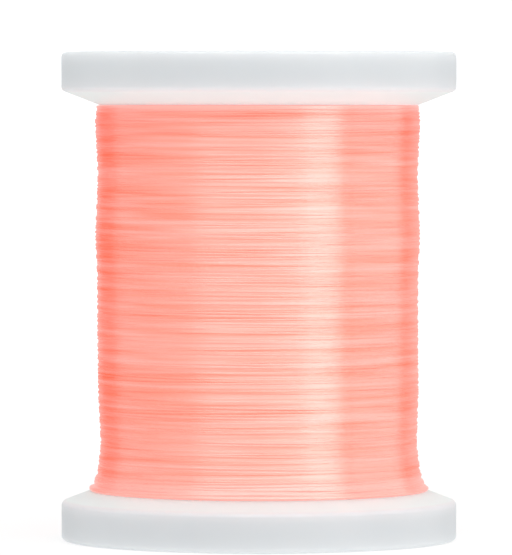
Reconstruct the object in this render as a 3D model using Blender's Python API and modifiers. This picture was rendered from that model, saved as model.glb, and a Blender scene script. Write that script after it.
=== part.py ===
"""A small spool of fine fishing line, standing on its lower flange.

The spool is a moulded barrel between two coned flanges. The lower flange is pressed into the barrel. The
upper one is held by a snap skirt and lifts a little, which opens a gap that nips the end of the line.
The origin is at the centre of the lower rim's resting face, and +Z runs up the axis. Sizes are in metres.
"""

import math

import bmesh
import bpy
from mathutils import Matrix

MM = 0.001

# Spool
HEIGHT = 34.6 * MM
FLANGE_RADIUS = 14.0 * MM
BORE_RADIUS = 4.0 * MM
BARREL_RADIUS = 8.5 * MM
BARREL_BORE_RADIUS = 7.2 * MM
SEAT_GAP = 0.1 * MM  # between faces that meet
FACETS = 72

# Flange, with heights counted from its outer end towards the middle of the spool
RIM_HEIGHT = 2.62 * MM
RIM_WIDTH = 1.6 * MM
RIM_ROUNDING = 0.35 * MM
CONE_SLOPE = 0.43  # rise of the coned face towards the barrel
SHOULDER_RADIUS = 9.6 * MM  # where the cone becomes the flat seat of the barrel
WEB_THICKNESS = 1.4 * MM
LEDGE_DEPTH = 0.8 * MM
LEDGE_WIDTH = 0.5 * MM
HUB_RADIUS = 5.2 * MM
HUB_DEPTH = 0.3 * MM
BORE_CHAMFER = 0.3 * MM
RIB_COUNT = 8
RIB_WIDTH = 0.8 * MM

# Spigot of the lower flange and snap skirt of the upper one
SPIGOT_LENGTH = 6.0 * MM
SPIGOT_INNER_RADIUS = 5.9 * MM
SPIGOT_CHAMFER = 0.35 * MM
PRESSED_CLEARANCE = 0.03 * MM
SLIDING_CLEARANCE = 0.08 * MM
FLANGE_LIFT = 1.5 * MM
BEAD_HEIGHT = 1.0 * MM
BEAD_REACH = 0.3 * MM
BEAD_RAMP = 0.3 * MM
SLOT_COUNT = 4
SLOT_WIDTH = 1.5 * MM
SLOT_LENGTH = 5.0 * MM

# Line
ANCHOR_HOLE_RADIUS = 0.5 * MM
ANCHOR_HOLE_HEIGHT = 13.0 * MM
WINDING_RADIUS = 11.35 * MM
FLARE_REACH = 0.75 * MM  # the lowest turns climb the cone of the lower flange
FLARE_HEIGHT = 2.0 * MM
FLARE_POINTS = 6

# End labels
LABEL_THICKNESS = 0.3 * MM
LABEL_EDGE_GAP = 0.15 * MM


def cone_depth(radius):
    """How far the flange's inner face stands from its outer end, at this radius."""
    return RIM_HEIGHT + CONE_SLOPE * (FLANGE_RADIUS - max(radius, SHOULDER_RADIUS))


SEAT_DEPTH = cone_depth(SHOULDER_RADIUS)
LEDGE_RADIUS = FLANGE_RADIUS - RIM_WIDTH
BARREL_FOOT = SEAT_DEPTH + SEAT_GAP
BARREL_TOP = HEIGHT - BARREL_FOOT


def arc(centre, radius, start, end, steps=4):
    """Points of a round edge in the profile's plane, from one angle to another in degrees."""
    angles = (math.radians(start + (end - start) * i / steps) for i in range(steps + 1))
    return [(centre[0] + radius * math.cos(a), centre[1] + radius * math.sin(a)) for a in angles]


def material(name, colour, roughness):
    made = bpy.data.materials.new(name)
    made.use_nodes = True
    shader = made.node_tree.nodes["Principled BSDF"]
    shader.inputs["Base Color"].default_value = (*colour, 1.0)
    shader.inputs["Roughness"].default_value = roughness
    shader.inputs["Metallic"].default_value = 0.0
    made.diffuse_color = (*colour, 1.0)
    return made


def new_object(name, mesh, collection):
    made = bpy.data.objects.new(name, mesh)
    collection.objects.link(made)
    return made


def turned(name, profile, surface, collection, origin_height=0.0):
    """A ring turned from a closed profile of (radius, height) that runs down its outer side."""
    outline = bpy.data.meshes.new(name + "_profile")
    points = [(radius, 0.0, height - origin_height) for radius, height in profile]
    edges = [(i, (i + 1) % len(points)) for i in range(len(points))]
    outline.from_pydata(points, edges, [])
    lathe = new_object(name + "_lathe", outline, collection)
    screw = lathe.modifiers.new("Turn", "SCREW")
    screw.axis = "Z"
    screw.steps = FACETS
    screw.render_steps = FACETS
    screw.use_merge_vertices = True
    screw.merge_threshold = 1e-6
    screw.use_smooth_shade = True
    mesh = bpy.data.meshes.new_from_object(lathe.evaluated_get(bpy.context.evaluated_depsgraph_get()))
    bpy.data.objects.remove(lathe)
    bpy.data.meshes.remove(outline)
    mesh.name = name
    mesh.set_sharp_from_angle(angle=math.radians(30))
    mesh.materials.append(surface)
    made = new_object(name, mesh, collection)
    made.location.z = origin_height
    return made


def radial_boxes(name, count, width, inner, outer, low, high, collection):
    """Equal boxes set round the axis like spokes, kept as a hidden tool for a Boolean."""
    tool = bmesh.new()
    for i in range(count):
        size = Matrix.Diagonal((outer - inner, width, high - low, 1.0))
        place = Matrix.Translation(((inner + outer) / 2, 0.0, (low + high) / 2))
        turn = Matrix.Rotation(2 * math.pi * i / count, 4, "Z")
        bmesh.ops.create_cube(tool, size=1.0, matrix=turn @ place @ size)
    return hidden_tool(name, tool, collection)


def hidden_tool(name, tool, collection):
    mesh = bpy.data.meshes.new(name)
    tool.to_mesh(mesh)
    tool.free()
    made = new_object(name, mesh, collection)
    made.hide_render = True
    made.display_type = "WIRE"
    return made


def combine(piece, tool, operation):
    change = piece.modifiers.new(tool.name, "BOOLEAN")
    change.operation = operation
    change.object = tool
    change.solver = "EXACT"


def flange_profile(spigot):
    """The flange as if it lay at the foot of the spool, with the given spigot rising from its seat."""
    web = SEAT_DEPTH - WEB_THICKNESS
    web_edge = cone_depth(LEDGE_RADIUS - LEDGE_WIDTH) - WEB_THICKNESS
    cone_angle = math.degrees(math.atan(CONE_SLOPE))
    shoulder = FLANGE_RADIUS - RIM_ROUNDING
    return [
        (SHOULDER_RADIUS, SEAT_DEPTH),
        *arc((shoulder, RIM_HEIGHT - RIM_ROUNDING), RIM_ROUNDING, 90 - cone_angle, 0),
        *arc((shoulder, RIM_ROUNDING), RIM_ROUNDING, 0, -90),
        *arc((LEDGE_RADIUS + RIM_ROUNDING, RIM_ROUNDING), RIM_ROUNDING, -90, -180),
        (LEDGE_RADIUS, LEDGE_DEPTH),
        (LEDGE_RADIUS - LEDGE_WIDTH, LEDGE_DEPTH),
        (LEDGE_RADIUS - LEDGE_WIDTH, web_edge),
        (SHOULDER_RADIUS, web),
        (HUB_RADIUS, web),
        (HUB_RADIUS, HUB_DEPTH),
        (BORE_RADIUS + BORE_CHAMFER, HUB_DEPTH),
        (BORE_RADIUS, HUB_DEPTH + BORE_CHAMFER),
        (BORE_RADIUS, SEAT_DEPTH),
        *spigot,
    ]


def upside_down(profile):
    """The same profile at the other end of the spool, still running down its outer side."""
    return [(radius, HEIGHT - height) for radius, height in reversed(profile)]


def add_ribs(flange, at_top, collection):
    """Spokes behind the flange's web, which carry the label."""
    low = LEDGE_DEPTH + SEAT_GAP
    high = SEAT_DEPTH - WEB_THICKNESS / 2 - CONE_SLOPE * (LEDGE_RADIUS - SHOULDER_RADIUS) / 2
    if at_top:
        low, high = HEIGHT - high, HEIGHT - low
    inner = (BORE_RADIUS + HUB_RADIUS) / 2
    outer = LEDGE_RADIUS - LEDGE_WIDTH / 2
    ribs = radial_boxes(flange.name + "_ribs", RIB_COUNT, RIB_WIDTH, inner, outer, low, high, collection)
    combine(flange, ribs, "UNION")


def make_core_barrel(surface, parts, tools):
    """The tube the line is wound on. A groove near its top holds the bead of the snap skirt captive."""
    groove_radius = BARREL_BORE_RADIUS + BEAD_REACH
    bead_foot = HEIGHT - SEAT_DEPTH - SPIGOT_LENGTH
    groove_foot = bead_foot - SEAT_GAP
    groove_top = bead_foot + BEAD_HEIGHT + FLANGE_LIFT + SEAT_GAP
    profile = [
        (BARREL_RADIUS, BARREL_TOP),
        (BARREL_RADIUS, BARREL_FOOT),
        (BARREL_BORE_RADIUS, BARREL_FOOT),
        (BARREL_BORE_RADIUS, groove_foot),
        (groove_radius, groove_foot),
        (groove_radius, groove_top),
        (BARREL_BORE_RADIUS, groove_top),
        (BARREL_BORE_RADIUS, BARREL_TOP),
    ]
    barrel = turned("core_barrel", profile, surface, parts)
    drill = bmesh.new()
    wall_middle = (BARREL_RADIUS + BARREL_BORE_RADIUS) / 2
    place = Matrix.Translation((wall_middle, 0.0, ANCHOR_HOLE_HEIGHT)) @ Matrix.Rotation(math.pi / 2, 4, "Y")
    bmesh.ops.create_cone(
        drill, cap_ends=True, segments=16, radius1=ANCHOR_HOLE_RADIUS, radius2=ANCHOR_HOLE_RADIUS,
        depth=2 * (BARREL_RADIUS - BARREL_BORE_RADIUS), matrix=place,
    )
    combine(barrel, hidden_tool("anchor_hole_drill", drill, tools), "DIFFERENCE")


def make_lower_flange(surface, parts, tools):
    """The fixed flange, pressed into the foot of the barrel by a plain spigot."""
    radius = BARREL_BORE_RADIUS - PRESSED_CLEARANCE
    end = SEAT_DEPTH + SPIGOT_LENGTH
    spigot = [
        (SPIGOT_INNER_RADIUS, SEAT_DEPTH),
        (SPIGOT_INNER_RADIUS, end),
        (radius - SPIGOT_CHAMFER, end),
        (radius, end - SPIGOT_CHAMFER),
        (radius, SEAT_DEPTH),
    ]
    flange = turned("lower_flange", flange_profile(spigot), surface, parts)
    add_ribs(flange, False, tools)


def make_upper_flange(surface, parts, tools):
    """The flange that lifts. Its skirt is slotted into springy fingers, each ending in a bead."""
    radius = BARREL_BORE_RADIUS - SLIDING_CLEARANCE
    bead_radius = radius + BEAD_REACH
    end = SEAT_DEPTH + SPIGOT_LENGTH
    skirt = [
        (SPIGOT_INNER_RADIUS, SEAT_DEPTH),
        (SPIGOT_INNER_RADIUS, end),
        (bead_radius - BEAD_RAMP, end),
        (bead_radius, end - BEAD_RAMP),
        (bead_radius, end - BEAD_HEIGHT),
        (radius, end - BEAD_HEIGHT),
        (radius, SEAT_DEPTH),
    ]
    flange = turned("upper_flange", upside_down(flange_profile(skirt)), surface, parts, HEIGHT)
    add_ribs(flange, True, tools)
    low = HEIGHT - end - SEAT_GAP
    high = HEIGHT - end + SLOT_LENGTH
    inner = SPIGOT_INNER_RADIUS - BEAD_REACH
    outer = bead_radius + BEAD_REACH
    slots = radial_boxes("skirt_slots", SLOT_COUNT, SLOT_WIDTH, inner, outer, low, high, tools)
    combine(flange, slots, "DIFFERENCE")


def make_line_winding(surface, parts):
    """The wound line as one ring, which fills the space between the cones and flares at its foot."""
    inner = BARREL_RADIUS + SEAT_GAP
    foot_radius = WINDING_RADIUS + FLARE_REACH
    foot = cone_depth(foot_radius) + SEAT_GAP
    top = HEIGHT - cone_depth(WINDING_RADIUS) - SEAT_GAP
    flare = []
    for i in range(FLARE_POINTS + 1):
        share = i / FLARE_POINTS
        flare.append((WINDING_RADIUS + FLARE_REACH * share**2, foot + FLARE_HEIGHT * (1 - share)))
    profile = [
        (WINDING_RADIUS, top),
        *flare,
        (SHOULDER_RADIUS, SEAT_DEPTH + SEAT_GAP),
        (inner, SEAT_DEPTH + SEAT_GAP),
        (inner, HEIGHT - SEAT_DEPTH - SEAT_GAP),
        (SHOULDER_RADIUS, HEIGHT - SEAT_DEPTH - SEAT_GAP),
    ]
    turned("line_winding", profile, surface, parts)


def make_label(name, at_top, surface, parts):
    """A card ring that rests on the flange's ledge and ribs, a little below the rim."""
    inner = HUB_RADIUS + LABEL_EDGE_GAP
    outer = LEDGE_RADIUS - LABEL_EDGE_GAP
    back = LEDGE_DEPTH - SEAT_GAP / 2
    face = back - LABEL_THICKNESS
    profile = [(outer, back), (outer, face), (inner, face), (inner, back)]
    if at_top:
        profile = upside_down(profile)
    turned(name, profile, surface, parts, HEIGHT if at_top else 0.0)


def new_collection(name):
    made = bpy.data.collections.new(name)
    bpy.context.scene.collection.children.link(made)
    return made


for old in list(bpy.data.objects):
    bpy.data.objects.remove(old)

spool = new_collection("fishing_line_spool")
cutters = new_collection("cutters")
white_plastic = material("white_moulded_plastic", (0.80, 0.83, 0.86), 0.32)
coral_line = material("coral_monofilament", (0.96, 0.26, 0.15), 0.3)
label_card = material("label_card", (0.90, 0.89, 0.86), 0.6)

make_core_barrel(white_plastic, spool, cutters)
make_lower_flange(white_plastic, spool, cutters)
make_upper_flange(white_plastic, spool, cutters)
make_line_winding(coral_line, spool)
make_label("lower_label", False, label_card, spool)
make_label("upper_label", True, label_card, spool)
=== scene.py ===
import math

import bmesh
import bpy
import numpy as np
from mathutils import Matrix, Vector


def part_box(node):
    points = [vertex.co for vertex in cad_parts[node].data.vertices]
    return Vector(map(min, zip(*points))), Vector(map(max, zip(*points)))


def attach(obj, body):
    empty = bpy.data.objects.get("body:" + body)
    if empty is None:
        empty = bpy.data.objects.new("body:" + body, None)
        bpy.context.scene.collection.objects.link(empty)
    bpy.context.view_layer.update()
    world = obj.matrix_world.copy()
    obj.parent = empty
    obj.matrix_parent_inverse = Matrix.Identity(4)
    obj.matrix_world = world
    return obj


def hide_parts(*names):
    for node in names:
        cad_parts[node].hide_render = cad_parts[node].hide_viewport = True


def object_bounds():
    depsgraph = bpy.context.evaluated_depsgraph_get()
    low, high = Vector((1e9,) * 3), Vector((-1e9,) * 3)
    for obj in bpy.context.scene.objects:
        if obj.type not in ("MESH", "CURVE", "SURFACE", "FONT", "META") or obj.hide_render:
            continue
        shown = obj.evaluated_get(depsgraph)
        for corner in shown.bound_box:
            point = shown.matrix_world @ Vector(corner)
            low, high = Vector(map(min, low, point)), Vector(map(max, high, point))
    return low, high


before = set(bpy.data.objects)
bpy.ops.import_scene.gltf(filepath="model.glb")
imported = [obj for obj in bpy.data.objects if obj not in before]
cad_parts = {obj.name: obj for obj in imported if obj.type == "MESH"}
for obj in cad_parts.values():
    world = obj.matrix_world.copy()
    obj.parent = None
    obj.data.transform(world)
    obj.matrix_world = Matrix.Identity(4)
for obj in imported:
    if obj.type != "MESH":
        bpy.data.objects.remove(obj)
cad_low, cad_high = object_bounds()


# ---- Camera ---------------------------------------------------------------------------------------------
# The spool stands square to a long lens, which is level with the top of the winding, so the line's upper
# edge is straight while its lower edge and the rims bow very slightly.

MM = 0.001

eye_above_winding = 0.17 * MM
eye_distance = 425.3 * MM
eye_aside = -0.21 * MM
aim_height = 18.61 * MM
lens_length = 389.2
film_width = 36.0
nearest_seen = 0.01
farthest_seen = 5.0

winding_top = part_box("line_winding")[1].z
camera_data = bpy.data.cameras.new("camera")
camera_data.lens = lens_length
camera_data.sensor_width = film_width
camera_data.clip_start = nearest_seen
camera_data.clip_end = farthest_seen
camera = bpy.data.objects.new("camera", camera_data)
camera.location = (eye_aside, -eye_distance, winding_top + eye_above_winding)
look = Vector((eye_aside, 0.0, aim_height)) - camera.location
camera.rotation_euler = look.to_track_quat("-Z", "Y").to_euler()
bpy.context.collection.objects.link(camera)
bpy.context.scene.camera = camera


# ---- Lower flange ---------------------------------------------------------------------------------------
# One injection moulding: a thick rounded rim, a coned inner face that guides the line, a ribbed back and a
# plain spigot that is pressed into the foot of the barrel. The upper flange shares its mould but for the
# spigot.

spool_height = cad_high.z
flange_radius = cad_high.x
barrel_bore_radius = 7.2 * MM
bore_radius = 4.0 * MM
bore_chamfer = 0.3 * MM
rim_height = 2.84 * MM
rim_width = 1.6 * MM
rim_rounding = 0.35 * MM
cone_slope = 0.36
shoulder_radius = 9.6 * MM
web_thickness = 1.4 * MM
ledge_depth = 0.8 * MM
ledge_width = 0.5 * MM
hub_radius = 5.2 * MM
hub_depth = 0.3 * MM
rib_count = 8
rib_width = 0.8 * MM
rib_gap = 0.1 * MM
spigot_inner_radius = 5.9 * MM
spigot_length = 6.0 * MM
spigot_gap = 0.03 * MM
spigot_lead_in = 0.35 * MM
edge_softening = 0.12 * MM
crease_angle = math.radians(32)
flow_mark_size = 6 * MM
spark_grain = 0.12 * MM
light_depth = 2.0 * MM
painted_rim_glow_fade = 1.2 * MM
ledge_radius = flange_radius - rim_width

# Painted glow in the plastic, standing in for light that comes through it, from the axis at 0 to the rim at
# 1.
# The cone's painted glow is cool, to offset the coral light that the line throws on it.
painted_back_glow = (0.08, 0.09, 0.09, 1.0)
painted_cone_glow = (0.09, 0.205, 0.195, 1.0)
painted_rim_glow = (0.08, 0.105, 0.115, 1.0)
painted_flange_glow = [(0.0, painted_back_glow), (0.76, painted_back_glow), (0.81, painted_cone_glow), (0.965, painted_cone_glow), (1.0, painted_rim_glow)]


def linear(hex_colour):
    """An sRGB hex colour as the linear RGBA that Blender's sockets take."""
    channels = [int(hex_colour[i:i + 2], 16) / 255 for i in (1, 3, 5)]
    return (*(c / 12.92 if c <= 0.04045 else ((c + 0.055) / 1.055) ** 2.4 for c in channels), 1.0)


def add_node(tree, kind, inputs=(), **settings):
    """A node of this kind with its settings, and its inputs set to values or linked from sockets."""
    node = tree.nodes.new(kind)
    for name, value in settings.items():
        setattr(node, name, value)
    for key, value in dict(inputs).items():
        socket = node.inputs[key]
        if isinstance(value, bpy.types.NodeSocket):
            tree.links.new(value, socket)
        else:
            socket.default_value = value
    return node


def new_material(name):
    """A material with an empty tree but for its Principled shader and output."""
    made = bpy.data.materials.new(name)
    made.use_nodes = True
    tree = made.node_tree
    tree.nodes.clear()
    shader = add_node(tree, "ShaderNodeBsdfPrincipled")
    add_node(tree, "ShaderNodeOutputMaterial", {"Surface": shader.outputs["BSDF"]})
    return made, tree, shader


def coloured_rings(tree, place, inner, outer, stops, blend):
    """Colours in rings round the spool's axis. Each stop is a colour and its place, as a share of the way
    from the inner radius to the outer one."""
    parts = add_node(tree, "ShaderNodeSeparateXYZ", {"Vector": place})
    flat = add_node(tree, "ShaderNodeCombineXYZ", {"X": parts.outputs["X"], "Y": parts.outputs["Y"]})
    radius = add_node(tree, "ShaderNodeVectorMath", {0: flat.outputs["Vector"]}, operation="LENGTH")
    share = add_node(tree, "ShaderNodeMapRange", {
        "Value": radius.outputs["Value"], "From Min": inner, "From Max": outer,
    })
    rings = add_node(tree, "ShaderNodeValToRGB", {"Fac": share.outputs["Result"]})
    ramp = rings.color_ramp
    ramp.interpolation = blend
    while len(ramp.elements) < len(stops):
        ramp.elements.new(0.5)
    for element, (position, colour) in zip(ramp.elements, stops):
        element.position = position
        element.color = colour
    return rings.outputs["Color"]


def moulded_polypropylene():
    """White injection-moulded polypropylene: satin, a little milky, with a cool cast from its whitener, and
    a painted glow by radius and height that stands in for light coming through it. It gives the eye soft
    broad lights and no hard glints. The mould's spark texture is drawn at 0.12 mm, coarser than the real
    one, so that it shows."""
    made, tree, shader = new_material("injection_moulded_polypropylene")
    place = add_node(tree, "ShaderNodeTexCoord").outputs["Object"]
    flow = add_node(tree, "ShaderNodeTexNoise", {
        "Vector": place, "Scale": 1 / flow_mark_size, "Detail": 2.0,
    })
    tint = add_node(tree, "ShaderNodeMix", {
        "Factor": flow.outputs["Fac"], 6: linear("#D2D3D5"), 7: linear("#D6D7D8"),
    }, data_type="RGBA")
    tree.links.new(tint.outputs[2], shader.inputs["Base Color"])
    grain = add_node(tree, "ShaderNodeTexNoise", {"Vector": place, "Scale": 1 / spark_grain, "Detail": 3.0})
    gloss = add_node(tree, "ShaderNodeMapRange", {
        "Value": grain.outputs["Fac"], "To Min": 0.40, "To Max": 0.52,
    })
    tree.links.new(gloss.outputs["Result"], shader.inputs["Roughness"])
    texture = add_node(tree, "ShaderNodeBump", {
        "Height": grain.outputs["Fac"], "Strength": 0.25, "Distance": 0.004 * MM,
    })
    tree.links.new(texture.outputs["Normal"], shader.inputs["Normal"])
    shader.inputs["IOR"].default_value = 1.49
    shader.inputs["Specular IOR Level"].default_value = 0.2
    shader.inputs["Subsurface Weight"].default_value = 1.0
    shader.inputs["Subsurface Radius"].default_value = (1.0, 0.95, 0.9)
    shader.inputs["Subsurface Scale"].default_value = light_depth
    # Painted glow: set by radius from the axis, and turned to the rim's painted glow near each end of the
    # spool.
    through = coloured_rings(tree, place, 0.0, flange_radius, painted_flange_glow, "EASE")
    height = add_node(tree, "ShaderNodeSeparateXYZ", {"Vector": place}).outputs["Z"]
    above = add_node(tree, "ShaderNodeMath", {0: height, 1: spool_height / 2}, operation="SUBTRACT")
    outward = add_node(tree, "ShaderNodeMath", {0: above.outputs[0]}, operation="ABSOLUTE")
    rim_start = spool_height / 2 - rim_height
    end = add_node(tree, "ShaderNodeMapRange", {
        "Value": outward.outputs[0], "From Min": rim_start, "From Max": rim_start + painted_rim_glow_fade,
    }, interpolation_type="SMOOTHSTEP")
    lit = add_node(tree, "ShaderNodeMix", {
        "Factor": end.outputs["Result"], 6: through, 7: painted_rim_glow,
    }, data_type="RGBA")
    tree.links.new(lit.outputs[2], shader.inputs["Emission Color"])
    shader.inputs["Emission Strength"].default_value = 1.0
    return made


plastic = moulded_polypropylene()


def arc(centre, radius, start, end, steps=6):
    """Points of a round edge in an outline, from one angle to another in degrees."""
    angles = (math.radians(start + (end - start) * i / steps) for i in range(steps + 1))
    return [(centre[0] + radius * math.cos(a), centre[1] + radius * math.sin(a)) for a in angles]


def softened(outline, radius, corners, steps=3):
    """The outline with the corners at these points cut back to a small round edge."""
    made = []
    count = len(outline)
    for i, point in enumerate(outline):
        if point not in corners:
            made.append(point)
            continue
        here = Vector(point)
        before = Vector(outline[i - 1]) - here
        after = Vector(outline[(i + 1) % count]) - here
        cut = min(radius, before.length / 2, after.length / 2)
        first, last = here + before.normalized() * cut, here + after.normalized() * cut
        for step in range(steps + 1):
            t = step / steps
            bend = first * (1 - t) ** 2 + here * 2 * t * (1 - t) + last * t**2
            made.append(tuple(bend))
    return made


def ring_mesh(name, points):
    """A smooth closed ring through a grid of points: one closed outline, running down its outer side, for
    each step round the axis."""
    segments, count = points.shape[:2]
    here = np.arange(segments)[:, None] * count + np.arange(count)
    onward = np.roll(here, -1, axis=0)
    faces = np.stack([here, np.roll(here, -1, axis=1), np.roll(onward, -1, axis=1), onward], axis=-1)
    mesh = bpy.data.meshes.new(name)
    mesh.from_pydata(points.reshape(-1, 3).tolist(), [], faces.reshape(-1, 4).tolist())
    mesh.shade_smooth()
    made = bpy.data.objects.new(name, mesh)
    bpy.context.collection.objects.link(made)
    return made


def turned(name, outline, segments=192):
    """A closed ring turned about Z from (radius, height) points that run down its outer side."""
    radii, heights = np.array(outline).T
    angles = np.linspace(0, 2 * math.pi, segments, endpoint=False)[:, None]
    points = np.stack([radii * np.cos(angles), radii * np.sin(angles),
                       np.broadcast_to(heights, (segments, len(heights)))], axis=-1)
    return ring_mesh(name, points)


def as_plain_mesh(piece):
    """Turns what the piece's modifiers make into its own mesh, and takes the modifiers off."""
    bpy.context.view_layer.update()
    made = bpy.data.meshes.new_from_object(piece.evaluated_get(bpy.context.evaluated_depsgraph_get()))
    made.name = piece.name
    piece.modifiers.clear()
    piece.data = made
    return piece


def run_tree(piece, tree, values):
    """Gives the piece a Geometry Nodes tree with these values for its inputs, and keeps the result."""
    nodes = piece.modifiers.new(tree.name, "NODES")
    nodes.node_group = tree
    for item in tree.interface.items_tree:
        if item.item_type == "SOCKET" and item.in_out == "INPUT" and item.name in values:
            nodes[item.identifier] = values[item.name]
    return as_plain_mesh(piece)


def new_tree(name, **numbers):
    """An empty Geometry Nodes tree with a geometry input and output, and a named input for each number."""
    tree = bpy.data.node_groups.new(name, "GeometryNodeTree")
    tree.is_modifier = True
    tree.interface.new_socket("Geometry", in_out="OUTPUT", socket_type="NodeSocketGeometry")
    tree.interface.new_socket("Geometry", in_out="INPUT", socket_type="NodeSocketGeometry")
    for label, start in numbers.items():
        kind = "NodeSocketInt" if isinstance(start, int) else "NodeSocketFloat"
        socket = tree.interface.new_socket(label.replace("_", " "), in_out="INPUT", socket_type=kind)
        socket.default_value = start
    return tree, add_node(tree, "NodeGroupInput")


def finish_tree(tree, geometry, surface):
    """Ends a tree by making its instances real and giving the result its material."""
    real = add_node(tree, "GeometryNodeRealizeInstances", {"Geometry": geometry})
    coated = add_node(tree, "GeometryNodeSetMaterial", {
        "Geometry": real.outputs["Geometry"], "Material": surface,
    })
    add_node(tree, "NodeGroupOutput", {"Geometry": coated.outputs["Geometry"]})


def spoke_tree(surface):
    """Equal square bars set round the axis, from an inner to an outer radius."""
    tree, given = new_tree("spokes", Count=8, Width=MM, Inner=MM, Outer=MM, Low=0.0, High=MM)
    out = given.outputs
    length = add_node(tree, "ShaderNodeMath", {0: out["Outer"], 1: out["Inner"]}, operation="SUBTRACT")
    tall = add_node(tree, "ShaderNodeMath", {0: out["High"], 1: out["Low"]}, operation="SUBTRACT")
    size = add_node(tree, "ShaderNodeCombineXYZ", {
        "X": length.outputs[0], "Y": out["Width"], "Z": tall.outputs[0],
    })
    bar = add_node(tree, "GeometryNodeMeshCube", {"Size": size.outputs["Vector"]})
    middle = add_node(tree, "ShaderNodeMath", {0: out["Outer"], 1: out["Inner"]}, operation="ADD")
    reach = add_node(tree, "ShaderNodeMath", {0: middle.outputs[0], 1: 0.5}, operation="MULTIPLY")
    ring = add_node(tree, "GeometryNodeCurvePrimitiveCircle", {
        "Resolution": out["Count"], "Radius": reach.outputs[0],
    })
    facing = add_node(tree, "FunctionNodeAlignEulerToVector", {
        "Vector": add_node(tree, "GeometryNodeInputPosition").outputs[0],
    }, axis="X", pivot_axis="Z")
    bars = add_node(tree, "GeometryNodeInstanceOnPoints", {
        "Points": add_node(tree, "GeometryNodeCurveToPoints", {
            "Curve": ring.outputs["Curve"],
        }, mode="EVALUATED").outputs["Points"],
        "Instance": bar.outputs["Mesh"], "Rotation": facing.outputs["Rotation"],
    })
    heights = add_node(tree, "ShaderNodeMath", {0: out["High"], 1: out["Low"]}, operation="ADD")
    lift = add_node(tree, "ShaderNodeMath", {0: heights.outputs[0], 1: 0.5}, operation="MULTIPLY")
    offset = add_node(tree, "ShaderNodeCombineXYZ", {"Z": lift.outputs[0]})
    raised = add_node(tree, "GeometryNodeSetPosition", {
        "Geometry": bars.outputs["Instances"], "Offset": offset.outputs["Vector"],
    })
    finish_tree(tree, raised.outputs["Geometry"], surface)
    return tree


spokes = spoke_tree(plastic)


def join_spokes(piece, operation, **values):
    """Adds spokes to the piece, or cuts them out of it."""
    tool = bpy.data.objects.new("spokes", bpy.data.meshes.new("spokes"))
    bpy.context.collection.objects.link(tool)
    run_tree(tool, spokes, values)
    change = piece.modifiers.new("spokes", "BOOLEAN")
    change.operation = operation
    change.object = tool
    change.solver = "EXACT"
    as_plain_mesh(piece)
    bpy.data.objects.remove(tool)


def cone_depth(radius):
    """How far the flange's inner face stands from its outer end, at this radius."""
    return rim_height + cone_slope * (flange_radius - max(radius, shoulder_radius))


seat_depth = cone_depth(shoulder_radius)


def flange_outline(spigot):
    """The flange as it lies at the foot of the spool, with the given spigot rising from its seat."""
    web = seat_depth - web_thickness
    web_edge = cone_depth(ledge_radius - ledge_width) - web_thickness
    cone_angle = math.degrees(math.atan(cone_slope))
    rounding = flange_radius - rim_rounding
    inner_ledge = ledge_radius - ledge_width
    outline = [
        (shoulder_radius, seat_depth),
        *arc((rounding, rim_height - rim_rounding), rim_rounding, 90 - cone_angle, 0, 8),
        *arc((rounding, rim_rounding), rim_rounding, 0, -90, 8),
        *arc((ledge_radius + rim_rounding, rim_rounding), rim_rounding, -90, -180),
        (ledge_radius, ledge_depth),
        (inner_ledge, ledge_depth),
        (inner_ledge, web_edge),
        (shoulder_radius, web),
        (hub_radius, web),
        (hub_radius, hub_depth),
        (bore_radius + bore_chamfer, hub_depth),
        (bore_radius, hub_depth + bore_chamfer),
        (bore_radius, seat_depth),
        *spigot,
    ]
    corners = [
        (shoulder_radius, seat_depth), (ledge_radius, ledge_depth), (inner_ledge, ledge_depth),
        (inner_ledge, web_edge), (hub_radius, web), (hub_radius, hub_depth),
        (bore_radius + bore_chamfer, hub_depth), (bore_radius, hub_depth + bore_chamfer),
        (bore_radius, seat_depth), *spigot,
    ]
    return softened(outline, edge_softening, corners)


def finish_moulding(piece, body, node):
    piece.data.materials.clear()
    piece.data.materials.append(plastic)
    piece.data.shade_smooth()
    piece.data.set_sharp_from_angle(angle=crease_angle)
    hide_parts(node)
    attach(piece, body)


rib_low = ledge_depth + rib_gap
rib_high = seat_depth - web_thickness / 2 - cone_slope * (ledge_radius - shoulder_radius) / 2
rib_inner = (bore_radius + hub_radius) / 2
rib_outer = ledge_radius - ledge_width / 2
spigot_radius = barrel_bore_radius - spigot_gap
spigot_end = seat_depth + spigot_length

lower_flange = turned("white_lower_flange", flange_outline([
    (spigot_inner_radius, seat_depth),
    (spigot_inner_radius, spigot_end),
    (spigot_radius - spigot_lead_in, spigot_end),
    (spigot_radius, spigot_end - spigot_lead_in),
    (spigot_radius, seat_depth),
]))
join_spokes(lower_flange, "UNION", Count=rib_count, Width=rib_width,
            Inner=rib_inner, Outer=rib_outer, Low=rib_low, High=rib_high)
finish_moulding(lower_flange, "spool_body", "lower_flange")


# ---- Barrel ---------------------------------------------------------------------------------------------
# A plain moulded tube that carries the line, pressed over the lower flange's spigot. A groove near its top
# holds the upper flange's beads captive, and the line is knotted through one small hole in its wall.

barrel_radius = 8.5 * MM
seat_gap = 0.1 * MM
bead_height = 1.0 * MM
bead_reach = 0.3 * MM
flange_lift = 1.5 * MM
anchor_hole_height = 13.0 * MM
anchor_hole_radius = 0.5 * MM
drill_length = 4 * MM

barrel_foot = seat_depth + seat_gap
barrel_top = spool_height - barrel_foot
groove_foot = spool_height - spigot_end - seat_gap
groove_top = groove_foot + bead_height + flange_lift + 2 * seat_gap
groove_radius = barrel_bore_radius + bead_reach
barrel_outline = [
    (barrel_radius, barrel_top),
    (barrel_radius, barrel_foot),
    (barrel_bore_radius, barrel_foot),
    (barrel_bore_radius, groove_foot),
    (groove_radius, groove_foot),
    (groove_radius, groove_top),
    (barrel_bore_radius, groove_top),
    (barrel_bore_radius, barrel_top),
]
barrel = turned("white_core_barrel", softened(barrel_outline, edge_softening, barrel_outline))

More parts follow.
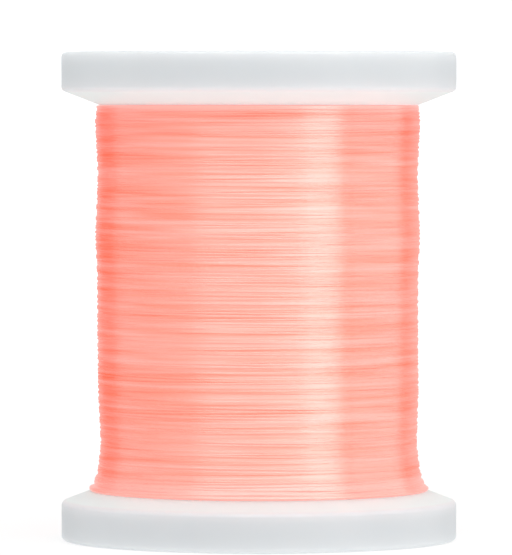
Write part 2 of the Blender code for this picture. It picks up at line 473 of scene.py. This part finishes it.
drill_shape = bmesh.new()
drill_turn = Matrix.Rotation(math.pi / 2, 4, "Y")
drill_place = Matrix.Translation((barrel_radius, 0.0, anchor_hole_height)) @ drill_turn
bmesh.ops.create_cone(drill_shape, cap_ends=True, segments=32, radius1=anchor_hole_radius,
                      radius2=anchor_hole_radius, depth=drill_length, matrix=drill_place)
drill = bpy.data.objects.new("drill", bpy.data.meshes.new("drill"))
drill_shape.to_mesh(drill.data)
drill_shape.free()
bpy.context.collection.objects.link(drill)
anchor_hole = barrel.modifiers.new("anchor_hole", "BOOLEAN")
anchor_hole.operation = "DIFFERENCE"
anchor_hole.object = drill
as_plain_mesh(barrel)
bpy.data.objects.remove(drill)
finish_moulding(barrel, "spool_body", "core_barrel")


# ---- Wound line -----------------------------------------------------------------------------------------
# One continuous drawn nylon line, 0.19 mm thick, in a fluorescent coral. A guide runs it up and down the
# barrel faster than its own width each turn, so the last passes cross one another at a shallow angle,
# bridge the dips between the turns below, and pile up against the lower cone.

line_diameter = 0.19 * MM
line_sides = 6
line_seed = 11

# The last passes: how the guide lays them, how far a turn flattens into those below it, and how far it
# strays over half a turn and over a turn and a half.
pass_count = 4
passes_per_piece = 3
turn_steps = 100
rise_per_turn = 0.85 * MM
rise_spread = 0.15
shortest_dwell = 0.6
longest_dwell = 1.3
foot_margin = 0.15 * MM
top_margin = 0.1 * MM
bedding = 0.4
settling = 0.068 * MM
short_stray = 0.02 * MM
short_stray_turns = 0.5
long_stray = 0.10 * MM
long_stray_turns = 1.6

# The map on which they are laid: its cells, how far a turn covers it and may slide on it, what a slide
# costs against a smaller radius, how many rounds pull a turn straight, and over how many steps a turn feels
# for a dip, slides into it and rounds off.
map_margin = 0.3 * MM
map_cell = line_diameter / 10
crown_cells = 5
slide_cells = 6
slide_cost = 900
pull_rounds = 40
sight_steps = 6
slide_steps = 25
radius_steps = 2

# The older turns below: their depth under the wound surface, their grooves, and how they stray, in turns.
pack_depth = 0.04 * MM
pack_gap = 0.02 * MM
pack_segments = 96
pack_levels_per_turn = 6
groove_depth = 0.022 * MM
unevenness = 0.008 * MM
uneven_knots_per_turn = 8
uneven_spacing = 5
pack_stray = 0.6
pack_stray_spacing = 70
pack_waves = (1, 2, 3)
pack_wave = 0.2
pack_wave_spacing = 60

# The height and radius of the wound surface: it bulges and narrows a little, and flares at the foot. Above
# the foot it leans a little to one side.
surface_heights = np.array([3.38, 3.9, 4.8, 6.8, 10.4, 18.7, 21.6, 25.9, 29.7, 30.82]) * MM
surface_radii = np.array([12.12, 11.76, 11.45, 11.21, 11.37, 11.39, 11.52, 11.35, 11.53, 11.39]) * MM
lean = 0.09 * MM
lean_rise = 14 * MM

# The line's colour streaks and its painted glow streaks, and the heights between which the painted light
# from the lower cone, the painted light from the upper cone and the painted shade under the upper flange
# come on.
tint_streak, tint_flatness = 4 * MM, 12.0
painted_glow_streak, painted_glow_flatness = 13 * MM, 36.0
painted_line_glow = 0.57
painted_shaded_line_glow = 0.49
painted_foot_light_start, painted_foot_light_full, painted_foot_light = 5.4 * MM, 4.0 * MM, 0.7
painted_top_light_start, painted_top_light_full, painted_top_light = 30.3 * MM, 30.8 * MM, 0.95
painted_shade_start, painted_shade_full = 26.0 * MM, 29.6 * MM


def level_streaks(tree, place, length, flatness):
    """Faint level streaks of about this length, and so many times lower than they are long."""
    flattened = add_node(tree, "ShaderNodeMapping", {"Vector": place, "Scale": (1.0, 1.0, flatness)})
    return add_node(tree, "ShaderNodeTexNoise", {
        "Vector": flattened.outputs["Vector"], "Scale": 1 / length, "Detail": 2.0,
    }).outputs["Fac"]


def drawn_nylon():
    """Drawn nylon monofilament in a fluorescent coral. A painted glow stands in for light passing from turn
    to turn, so even the gaps glow and there are no dark lines, while the hard, smooth skin gives a pale
    glint along each turn.
    Its colour drifts in streaks about two turns high, and its painted glow drifts too, standing in for more
    or less light coming through from below; the glow is painted paler near the cones and weaker under the
    upper flange."""
    made, tree, shader = new_material("drawn_nylon_monofilament")
    place = add_node(tree, "ShaderNodeTexCoord").outputs["Object"]
    tint = add_node(tree, "ShaderNodeMix", {
        "Factor": level_streaks(tree, place, tint_streak, tint_flatness),
        6: linear("#F06352"), 7: linear("#F7715E"),
    }, data_type="RGBA")
    tree.links.new(tint.outputs[2], shader.inputs["Base Color"])
    along = add_node(tree, "ShaderNodeTangent", direction_type="RADIAL", axis="Z")
    tree.links.new(along.outputs["Tangent"], shader.inputs["Tangent"])
    shader.inputs["Roughness"].default_value = 0.42
    shader.inputs["Anisotropic"].default_value = 1.0
    shader.inputs["Anisotropic Rotation"].default_value = 0.25
    shader.inputs["IOR"].default_value = 1.53
    shader.inputs["Specular IOR Level"].default_value = 1.0
    shader.inputs["Coat Weight"].default_value = 1.0
    shader.inputs["Coat Roughness"].default_value = 0.45
    shader.inputs["Coat IOR"].default_value = 1.45
    # Painted glow, in streaks about two turns high, standing in for light that passes through the line.
    passed = add_node(tree, "ShaderNodeMapRange", {
        "Value": level_streaks(tree, place, painted_glow_streak, painted_glow_flatness), "From Min": 0.3, "From Max": 0.7,
    })
    glow = add_node(tree, "ShaderNodeMix", {
        "Factor": passed.outputs["Result"], 6: linear("#FF6740"), 7: linear("#FFA99D"),
    }, data_type="RGBA")
    height = add_node(tree, "ShaderNodeSeparateXYZ", {"Vector": place}).outputs["Z"]
    # Painted light from the white cones: the glow turns pale near the foot and near the top.
    painted_foot_share = add_node(tree, "ShaderNodeMapRange", {
        "Value": height, "From Min": painted_foot_light_start, "From Max": painted_foot_light_full, "To Max": painted_foot_light,
    }, interpolation_type="SMOOTHSTEP")
    painted_top_share = add_node(tree, "ShaderNodeMapRange", {
        "Value": height, "From Min": painted_top_light_start, "From Max": painted_top_light_full, "To Max": painted_top_light,
    }, interpolation_type="SMOOTHSTEP")
    painted_cone_share = add_node(tree, "ShaderNodeMath", {
        0: painted_foot_share.outputs["Result"], 1: painted_top_share.outputs["Result"],
    }, operation="MAXIMUM")
    painted_cone_light = add_node(tree, "ShaderNodeMix", {
        "Factor": painted_cone_share.outputs[0], 6: glow.outputs[2], 7: linear("#FFC5BE"),
    }, data_type="RGBA")
    tree.links.new(painted_cone_light.outputs[2], shader.inputs["Emission Color"])
    # Painted shade under the upper flange: the glow weakens towards the top of the winding.
    shaded = add_node(tree, "ShaderNodeMapRange", {
        "Value": height, "From Min": painted_shade_start, "From Max": painted_shade_full,
        "To Min": painted_line_glow, "To Max": painted_shaded_line_glow,
    }, interpolation_type="SMOOTHSTEP")
    tree.links.new(shaded.outputs["Result"], shader.inputs["Emission Strength"])
    return made


nylon = drawn_nylon()


def smooth_noise(random, count, spacing):
    """A smooth random curve through one random value every so many steps."""
    knots = random.normal(size=int(count / spacing) + 3)
    at = np.arange(count) / spacing
    whole = at.astype(int)
    part = at - whole
    part = part * part * (3 - 2 * part)
    return knots[whole] * (1 - part) + knots[whole + 1] * part


def blurred(values, spread):
    """The values averaged with a bell of this spread, in steps."""
    reach = int(3 * spread)
    bell = np.exp(-0.5 * (np.arange(-reach, reach + 1) / spread) ** 2)
    padded = np.pad(values, reach, mode="edge")
    return np.convolve(padded, bell / bell.sum(), "valid")


def guide_run(random, upward, low, high):
    """The heights at which the guide lays one pass, with a short dwell at each end."""
    rise = rise_per_turn * (1 + rise_spread * random.normal())
    run = np.linspace(low, high, int((high - low) / rise * turn_steps))
    dwells = [
        np.full(int(turn_steps * random.uniform(shortest_dwell, longest_dwell)), end) for end in (low, high)
    ]
    heights = np.concatenate([dwells[0], run, dwells[1]])
    return heights if upward else heights[::-1]


def cone_height(radii):
    """The height of the lower flange's inner face under the wound line."""
    return rim_height + cone_slope * (flange_radius - radii)


def lay_line():
    """Lays the last passes turn by turn on a map of the wound surface. Each turn slides a little towards a
    dip, beds into what lies under it, and is pulled straight between its high points."""
    random = np.random.default_rng(line_seed)
    half = line_diameter / 2
    low, high = surface_heights[0] - map_margin, surface_heights[-1] + map_margin
    levels = np.arange(low, high, map_cell)
    ground = np.interp(levels, surface_heights, surface_radii) - pack_depth
    surface = np.repeat(ground[None, :], turn_steps, axis=0)
    beside = np.arange(-crown_cells, crown_cells + 1)
    crown = bedding * np.sqrt(np.clip(half**2 - (beside * map_cell) ** 2, 0, None))
    step_angle = 2 * math.pi / turn_steps
    slides = np.arange(-slide_cells, slide_cells + 1)
    laid = []
    start = 0
    for number in range(pass_count):
        heights = guide_run(random, number % 2 == 0, surface_heights[0] + foot_margin,
                            surface_heights[-1] - top_margin)
        count = len(heights)
        heights = heights + short_stray * smooth_noise(random, count, turn_steps * short_stray_turns)
        heights = heights + long_stray * smooth_noise(random, count, turn_steps * long_stray_turns)
        column = (start + np.arange(count)) % turn_steps

        def resting_radius(shift):
            row = np.round((heights - low) / map_cell).astype(int) + shift
            near = np.clip(row[:, None] + beside, 0, len(levels) - 1)
            return (surface[column[:, None], near] + crown).max(axis=1)

        effort = [
            blurred(resting_radius(slide), sight_steps) + slide_cost * (slide * map_cell) ** 2
            for slide in slides
        ]
        heights = heights + blurred(slides[np.argmin(effort, axis=0)] * map_cell, slide_steps)
        heights = np.minimum(heights, surface_heights[-1] - half)
        rest = resting_radius(0) - settling
        radii = rest.copy()
        for _ in range(pull_rounds):
            before, after = np.roll(radii, 1), np.roll(radii, -1)
            before[0], after[-1] = radii[0], radii[-1]
            radii = np.maximum(rest, 2 * before * after / (before + after) * math.cos(step_angle))
        radii = blurred(radii, radius_steps)
        heights = np.maximum(heights, cone_height(radii) + half)
        row = np.round((heights - low) / map_cell).astype(int)
        for offset, rise in zip(beside, crown):
            near = np.clip(row + offset, 0, len(levels) - 1)
            np.maximum.at(surface, (column, near), radii + rise)
        angles = (start + np.arange(count)) * step_angle
        laid.append(np.stack([radii * np.cos(angles), radii * np.sin(angles), heights], axis=1))
        start += count
    return laid


def leaned(points):
    """The points moved a little to -X, as the line lies on the spool, but not at its foot."""
    share = np.clip((points[:, 2] - surface_heights[0]) / lean_rise, 0, 1)
    moved = points.copy()
    moved[:, 0] -= lean * share * share * (3 - 2 * share)
    return moved


passes = lay_line()


def wound_line_tree(surface):
    """Sweeps the round section of the line along its path."""
    tree, given = new_tree("wound_line", Diameter=line_diameter, Sides=line_sides)
    half = add_node(tree, "ShaderNodeMath", {0: given.outputs["Diameter"], 1: 0.5}, operation="MULTIPLY")
    section = add_node(tree, "GeometryNodeCurvePrimitiveCircle", {
        "Resolution": given.outputs["Sides"], "Radius": half.outputs[0],
    })
    path = add_node(tree, "GeometryNodeMeshToCurve", {"Mesh": given.outputs["Geometry"]})
    swept = add_node(tree, "GeometryNodeCurveToMesh", {
        "Curve": path.outputs["Curve"], "Profile Curve": section.outputs["Curve"], "Fill Caps": True,
    })
    smooth = add_node(tree, "GeometryNodeSetShadeSmooth", {"Geometry": swept.outputs["Mesh"]})
    finish_tree(tree, smooth.outputs["Geometry"], surface)
    return tree


def line_piece(name, points, tree, **values):
    """A stretch of line along these points, made by the tree."""
    path = bpy.data.meshes.new(name)
    path.from_pydata(leaned(points).tolist(), [(i, i + 1) for i in range(len(points) - 1)], [])
    made = bpy.data.objects.new(name, path)
    bpy.context.collection.objects.link(made)
    run_tree(made, tree, values)
    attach(made, "spool_body")


wound_line = wound_line_tree(nylon)
for first in range(0, pass_count, passes_per_piece):
    stretch = np.concatenate(passes[first:first + passes_per_piece])
    if first:
        stretch = np.concatenate([passes[first - 1][-1:], stretch])
    name = f"wound_line_{first // passes_per_piece + 1}"
    line_piece(name, stretch, wound_line, Diameter=line_diameter, Sides=line_sides)


def packed_line():
    """The older turns as one closed ring. They lie side by side in a fine helix that wanders a little, and
    show as a rounded crest for each turn with a shallow groove between."""
    random = np.random.default_rng(line_seed + 1)
    inner = barrel_radius + seat_gap
    around = np.linspace(0, 2 * math.pi, pack_segments, endpoint=False)
    foot_radius, top_radius = surface_radii[0] - pack_depth, surface_radii[-1] - pack_depth
    foot = cone_height(foot_radius) + pack_gap
    top = spool_height - cone_height(top_radius) - pack_gap
    levels = np.arange(foot, top, line_diameter / pack_levels_per_turn)
    stray = pack_stray * smooth_noise(random, len(levels), pack_stray_spacing)
    round_share = around[:, None] / (2 * math.pi)
    waves = 0
    for number in pack_waves:
        phase = number * around[:, None] + random.uniform(0, 2 * math.pi)
        waves = waves + np.sin(phase + smooth_noise(random, len(levels), pack_wave_spacing))
    turn = levels / line_diameter + stray - round_share + pack_wave * waves
    wall = np.interp(levels, surface_heights, surface_radii) - pack_depth
    wall = wall - groove_depth * (1 - np.abs(np.cos(math.pi * turn)))
    along = (np.round(turn) - np.round(turn).min() + round_share) * uneven_knots_per_turn
    uneven = smooth_noise(random, int(along.max()) + 2, uneven_spacing)
    wall = wall + unevenness * np.interp(along, np.arange(len(uneven)), uneven)
    ends = np.array([(shoulder_radius, spool_height - seat_depth - seat_gap),
                     (inner, spool_height - seat_depth - seat_gap),
                     (inner, seat_depth + seat_gap), (shoulder_radius, seat_depth + seat_gap)])
    radii = np.hstack([wall, np.broadcast_to(ends[:, 0], (pack_segments, len(ends)))])
    heights = np.broadcast_to(np.concatenate([levels, ends[:, 1]]), radii.shape)
    points = np.stack([radii * np.cos(around[:, None]), radii * np.sin(around[:, None]), heights], axis=-1)
    outer = points[:, :len(levels)]
    points[:, :len(levels)] = leaned(outer.reshape(-1, 3)).reshape(outer.shape)
    return ring_mesh("line_pack", points[:, ::-1])


line_pack = packed_line()
line_pack.data.materials.append(nylon)
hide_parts("line_winding")
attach(line_pack, "spool_body")


# ---- Upper flange ---------------------------------------------------------------------------------------
# The same moulding as the lower flange, but with a skirt slotted into four springy fingers. A bead round
# their ends clicks in the barrel's groove, so the flange lifts a little to nip the end of the line.

bead_ramp = 0.3 * MM
slot_count = 4
slot_width = 1.5 * MM
slot_length = 5.0 * MM
slot_overshoot = 0.3 * MM
slot_end_overshoot = 0.1 * MM
skirt_gap = 0.08 * MM
skirt_radius = barrel_bore_radius - skirt_gap
bead_radius = skirt_radius + bead_reach

skirt = [
    (spigot_inner_radius, seat_depth),
    (spigot_inner_radius, spigot_end),
    (bead_radius - bead_ramp, spigot_end),
    (bead_radius, spigot_end - bead_ramp),
    (bead_radius, spigot_end - bead_height),
    (skirt_radius, spigot_end - bead_height),
    (skirt_radius, seat_depth),
]
upside_down = [(radius, spool_height - height) for radius, height in reversed(flange_outline(skirt))]
upper_flange = turned("white_upper_flange", upside_down)
join_spokes(upper_flange, "UNION", Count=rib_count, Width=rib_width, Inner=rib_inner, Outer=rib_outer,
            Low=spool_height - rib_high, High=spool_height - rib_low)
join_spokes(upper_flange, "DIFFERENCE", Count=slot_count, Width=slot_width,
            Inner=spigot_inner_radius - slot_overshoot, Outer=bead_radius + slot_overshoot,
            Low=spool_height - spigot_end - slot_end_overshoot,
            High=spool_height - spigot_end + slot_length)
finish_moulding(upper_flange, "lifting_flange", "upper_flange")


# ---- End labels -----------------------------------------------------------------------------------------
# A ring of smooth card lies in the recess of each flange, on its ledge and ribs. It is printed with a band
# in the line's colour and a few plain rules.

label_edge_gap = 0.15 * MM
label_thickness = 0.3 * MM
label_edge_rounding = 0.04 * MM
fibre_size = 0.1 * MM
bare_card = linear("#DCDAD5")
coral_ink = linear("#F26A4E")
grey_ink = linear("#7E8489")

# The printed rings, from the hub at 0 to the ledge's edge at 1.
printed_rings = [
    (0.0, bare_card), (0.10, coral_ink), (0.13, bare_card), (0.62, grey_ink), (0.636, bare_card),
    (0.72, coral_ink), (0.93, bare_card),
]


def printed_card():
    """Smooth coated card, printed in two inks. Its face is nearly matt, with a faint fibre grain, which is
    drawn at 0.1 mm, coarser than real fibres, so that it shows."""
    made, tree, shader = new_material("printed_label_card")
    place = add_node(tree, "ShaderNodeTexCoord").outputs["Object"]
    inks = coloured_rings(tree, place, hub_radius, ledge_radius, printed_rings, "CONSTANT")
    tree.links.new(inks, shader.inputs["Base Color"])
    fibre = add_node(tree, "ShaderNodeTexNoise", {"Vector": place, "Scale": 1 / fibre_size, "Detail": 4.0})
    gloss = add_node(tree, "ShaderNodeMapRange", {
        "Value": fibre.outputs["Fac"], "To Min": 0.5, "To Max": 0.68,
    })
    tree.links.new(gloss.outputs["Result"], shader.inputs["Roughness"])
    texture = add_node(tree, "ShaderNodeBump", {
        "Height": fibre.outputs["Fac"], "Strength": 0.3, "Distance": 0.006 * MM,
    })
    tree.links.new(texture.outputs["Normal"], shader.inputs["Normal"])
    return made


card = printed_card()


def label(name, node, body, at_top):
    """A card ring with its edges barely rounded by the die that cut it."""
    inner, outer = hub_radius + label_edge_gap, ledge_radius - label_edge_gap
    back = ledge_depth - seat_gap / 2
    face = back - label_thickness
    outline = [(outer, back), (outer, face), (inner, face), (inner, back)]
    if at_top:
        outline = [(radius, spool_height - height) for radius, height in reversed(outline)]
    made = turned(name, softened(outline, label_edge_rounding, outline))
    made.data.set_sharp_from_angle(angle=crease_angle)
    made.data.materials.append(card)
    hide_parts(node)
    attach(made, body)


label("card_lower_label", "lower_label", "spool_body", False)
label("card_upper_label", "upper_label", "lifting_flange", True)


# ---- Studio ---------------------------------------------------------------------------------------------
# A white table in front of a white sweep, with large soft lights to both sides, in front and overhead.

table_radius = 1.4
sweep_radius = 1.6
table_albedo = 0.2
table_glow = 0.72
sweep_glow = 1.0
glow_rise = 0.3
glow_rise_start = 0.06
glow_rise_end = 0.3
sky_at_horizon = 0.22
sky_overhead = 1.5
light_distance = 0.35
overhead_distance = 0.4
overhead_width = 0.4
overhead_glow = 1.0
white = (1.0, 1.0, 1.0, 1.0)


def studio_surface(name, albedo, glow):
    """A matt white surface that also glows, as an overexposed one does, and more so far from the spool."""
    made, tree, shader = new_material(name)
    shader.inputs["Base Color"].default_value = (albedo, albedo, albedo, 1.0)
    shader.inputs["Roughness"].default_value = 0.9
    shader.inputs["Emission Color"].default_value = white
    way = add_node(tree, "ShaderNodeVectorMath", {
        0: add_node(tree, "ShaderNodeTexCoord").outputs["Object"],
    }, operation="LENGTH")
    strength = add_node(tree, "ShaderNodeMapRange", {
        "Value": way.outputs["Value"], "From Min": glow_rise_start, "From Max": glow_rise_end,
        "To Min": glow, "To Max": glow + glow_rise,
    })
    tree.links.new(strength.outputs["Result"], shader.inputs["Emission Strength"])
    return made


def studio_piece(name, shape, surface, unseen_by):
    """A stage piece that the named kinds of ray pass through."""
    made = bpy.data.objects.new(name, bpy.data.meshes.new(name))
    shape.to_mesh(made.data)
    shape.free()
    made.data.materials.append(surface)
    bpy.context.collection.objects.link(made)
    for ray in unseen_by:
        setattr(made, "visible_" + ray, False)


table_shape = bmesh.new()
bmesh.ops.create_circle(table_shape, cap_ends=True, segments=96, radius=table_radius)
table_surface = studio_surface("white_table", table_albedo, table_glow)
studio_piece("table", table_shape, table_surface, ["glossy", "shadow"])

sweep_shape = bmesh.new()
bmesh.ops.create_uvsphere(sweep_shape, u_segments=48, v_segments=24, radius=sweep_radius)
sweep_surface = studio_surface("white_sweep", 0.0, sweep_glow)
studio_piece("sweep", sweep_shape, sweep_surface,
             ["diffuse", "glossy", "transmission", "volume_scatter", "shadow"])

# The sky gives even light from above only, brightest overhead.
world = bpy.data.worlds.new("studio")
world.use_nodes = True
sky = world.node_tree
background = sky.nodes["Background"]
background.inputs["Color"].default_value = white
upward = add_node(sky, "ShaderNodeSeparateXYZ", {
    "Vector": add_node(sky, "ShaderNodeTexCoord").outputs["Generated"],
}).outputs["Z"]
steepness = add_node(sky, "ShaderNodeMath", {0: upward, 1: upward}, operation="MULTIPLY")
brightness = add_node(sky, "ShaderNodeMapRange", {
    "Value": steepness.outputs[0], "To Min": sky_at_horizon, "To Max": sky_overhead,
})
above_table = add_node(sky, "ShaderNodeMath", {0: upward, 1: 0.0}, operation="GREATER_THAN")
light = add_node(sky, "ShaderNodeMath", {
    0: brightness.outputs["Result"], 1: above_table.outputs[0],
}, operation="MULTIPLY")
sky.links.new(light.outputs[0], background.inputs["Strength"])
bpy.context.scene.world = world
world.cycles_visibility.glossy = False
bpy.context.scene.view_settings.view_transform = "Standard"


def softbox(name, place, facing, width, height, glow):
    """A soft rectangular light. Its glow is its brightness, where 1 is that of the white sweep."""
    lamp = bpy.data.lights.new(name, "AREA")
    lamp.shape = "RECTANGLE"
    lamp.size = width
    lamp.size_y = height
    lamp.energy = glow * math.pi * width * height
    made = bpy.data.objects.new(name, lamp)
    made.location = place
    made.rotation_euler = facing.to_track_quat("-Z", "Y").to_euler()
    made.visible_camera = False
    bpy.context.collection.objects.link(made)
    return made


def standing_softbox(name, start, end, low, high, glow):
    """A softbox that stands upright between two directions, in degrees from the front to the right, and
    between two heights above the spool's middle."""
    turn = math.radians((start + end) / 2)
    outward = Vector((math.sin(turn), -math.cos(turn), 0.0))
    place = outward * light_distance + Vector((0.0, 0.0, (spool_height + low + high) / 2))
    width = 2 * light_distance * math.tan(math.radians(end - start) / 2)
    return softbox(name, place, -outward, width, high - low, glow)


# The first lights are long ones that show as gloss on the line and the plastic. Each has its two
# directions, its foot and head above the spool's middle, and its glow. The other two are fill lights.
for name, start, end, low, high, glow in (
    ("front_left_light", -45, 6, -0.57, 0.63, 2.0),
    ("front_right_light", 6, 36, -0.57, 0.63, 2.6),
    ("high_front_light", -52, 40, 0.28, 0.9, 5.6),
    ("key_light", 36, 62, -0.57, 0.63, 5.8),
    ("right_light", 72, 124, -0.57, 0.63, 1.95),
    ("left_light", -80, -45, -0.57, 0.63, 1.6),
    ("far_left_light", -122, -80, -0.57, 0.63, 1.1),
    ("back_light", 140, 208, -0.57, 0.63, 0.5),
):
    standing_softbox(name, start, end, low, high, glow).visible_diffuse = False
standing_softbox("right_fill_light", 18, 58, -0.17, 0.17, 0.9).visible_glossy = False
overhead_place = Vector((0.0, 0.0, overhead_distance + spool_height / 2))
softbox("overhead_light", overhead_place, Vector((0.0, 0.0, -1.0)), overhead_width, overhead_width,
        overhead_glow)
